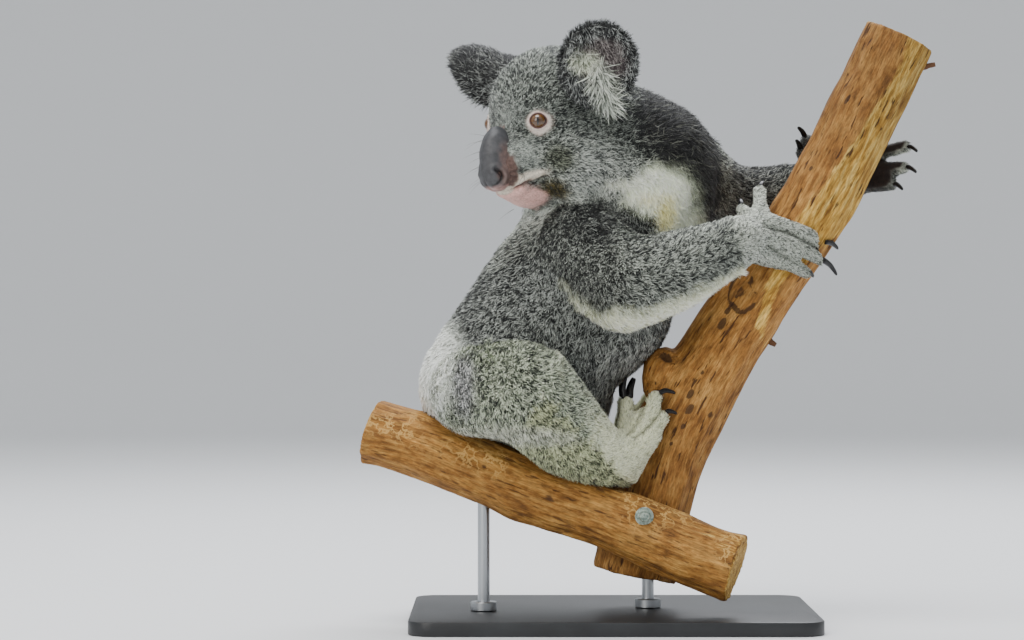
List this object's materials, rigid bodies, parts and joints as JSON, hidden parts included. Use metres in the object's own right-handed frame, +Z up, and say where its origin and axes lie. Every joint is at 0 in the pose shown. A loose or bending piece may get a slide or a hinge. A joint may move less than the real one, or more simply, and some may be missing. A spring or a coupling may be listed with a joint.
{
  "type": "koala",
  "caption": "Life-size still model of a koala sitting on a sloping branch and holding a leaning trunk, on a flat base with short rods.",
  "frame": {"origin": "underside of the stand's base, below the middle of the perched animal", "axes": "+Z up, +X the way the trunk leans, -Y the animal's right side, which faces the viewer"},
  "size_m": [0.5707, 0.2997, 0.6015],
  "materials": {
    "fur": "grey koala fur, salt and pepper, cream chest and rump",
    "nose_leather": "bare pebbled skin, charcoal with a brown-pink side",
    "eye": "wet brown eye with an upright slit pupil",
    "claw_horn": "black horn, satin",
    "bark": "smooth stripped and barked eucalypt wood",
    "bolt_steel": "weathered galvanised bolt and washer",
    "stand_black": "black powder coat",
    "rod_steel": "brushed steel rod"
  },
  "bodies": {
    "root": {"claw_foot_left_2": "claw_horn", "claw_foot_left_3": "claw_horn", "claw_foot_left_4": "claw_horn", "claw_foot_left_5": "claw_horn", "claw_foot_right_2": "claw_horn", "claw_foot_right_3": "claw_horn", "claw_foot_right_4": "claw_horn", "claw_foot_right_5": "claw_horn", "claw_hand_left_1": "claw_horn", "claw_hand_left_2": "claw_horn", "claw_hand_left_3": "claw_horn", "claw_hand_left_4": "claw_horn", "claw_hand_left_5": "claw_horn", "claw_hand_right_1": "claw_horn", "claw_hand_right_2": "claw_horn", "claw_hand_right_3": "claw_horn", "claw_hand_right_4": "claw_horn", "claw_hand_right_5": "claw_horn", "ear_left": "fur", "ear_right": "fur", "eye_left": "eye", "eye_right": "eye", "foot_left": "fur", "foot_right": "fur", "forearm_left": "fur", "forearm_right": "fur", "hand_left": "fur", "hand_right": "fur", "head": "fur", "neck": "fur", "nose": "nose_leather", "perch_bolt": "bolt_steel", "perch_branch": "bark", "perch_trunk": "bark", "shank_left": "fur", "shank_right": "fur", "stand_base": "stand_black", "stand_rod_branch": "rod_steel", "stand_rod_trunk": "rod_steel", "thigh_left": "fur", "thigh_right": "fur", "torso": "fur", "upper_arm_left": "fur", "upper_arm_right": "fur"}
  },
  "joints": []
}
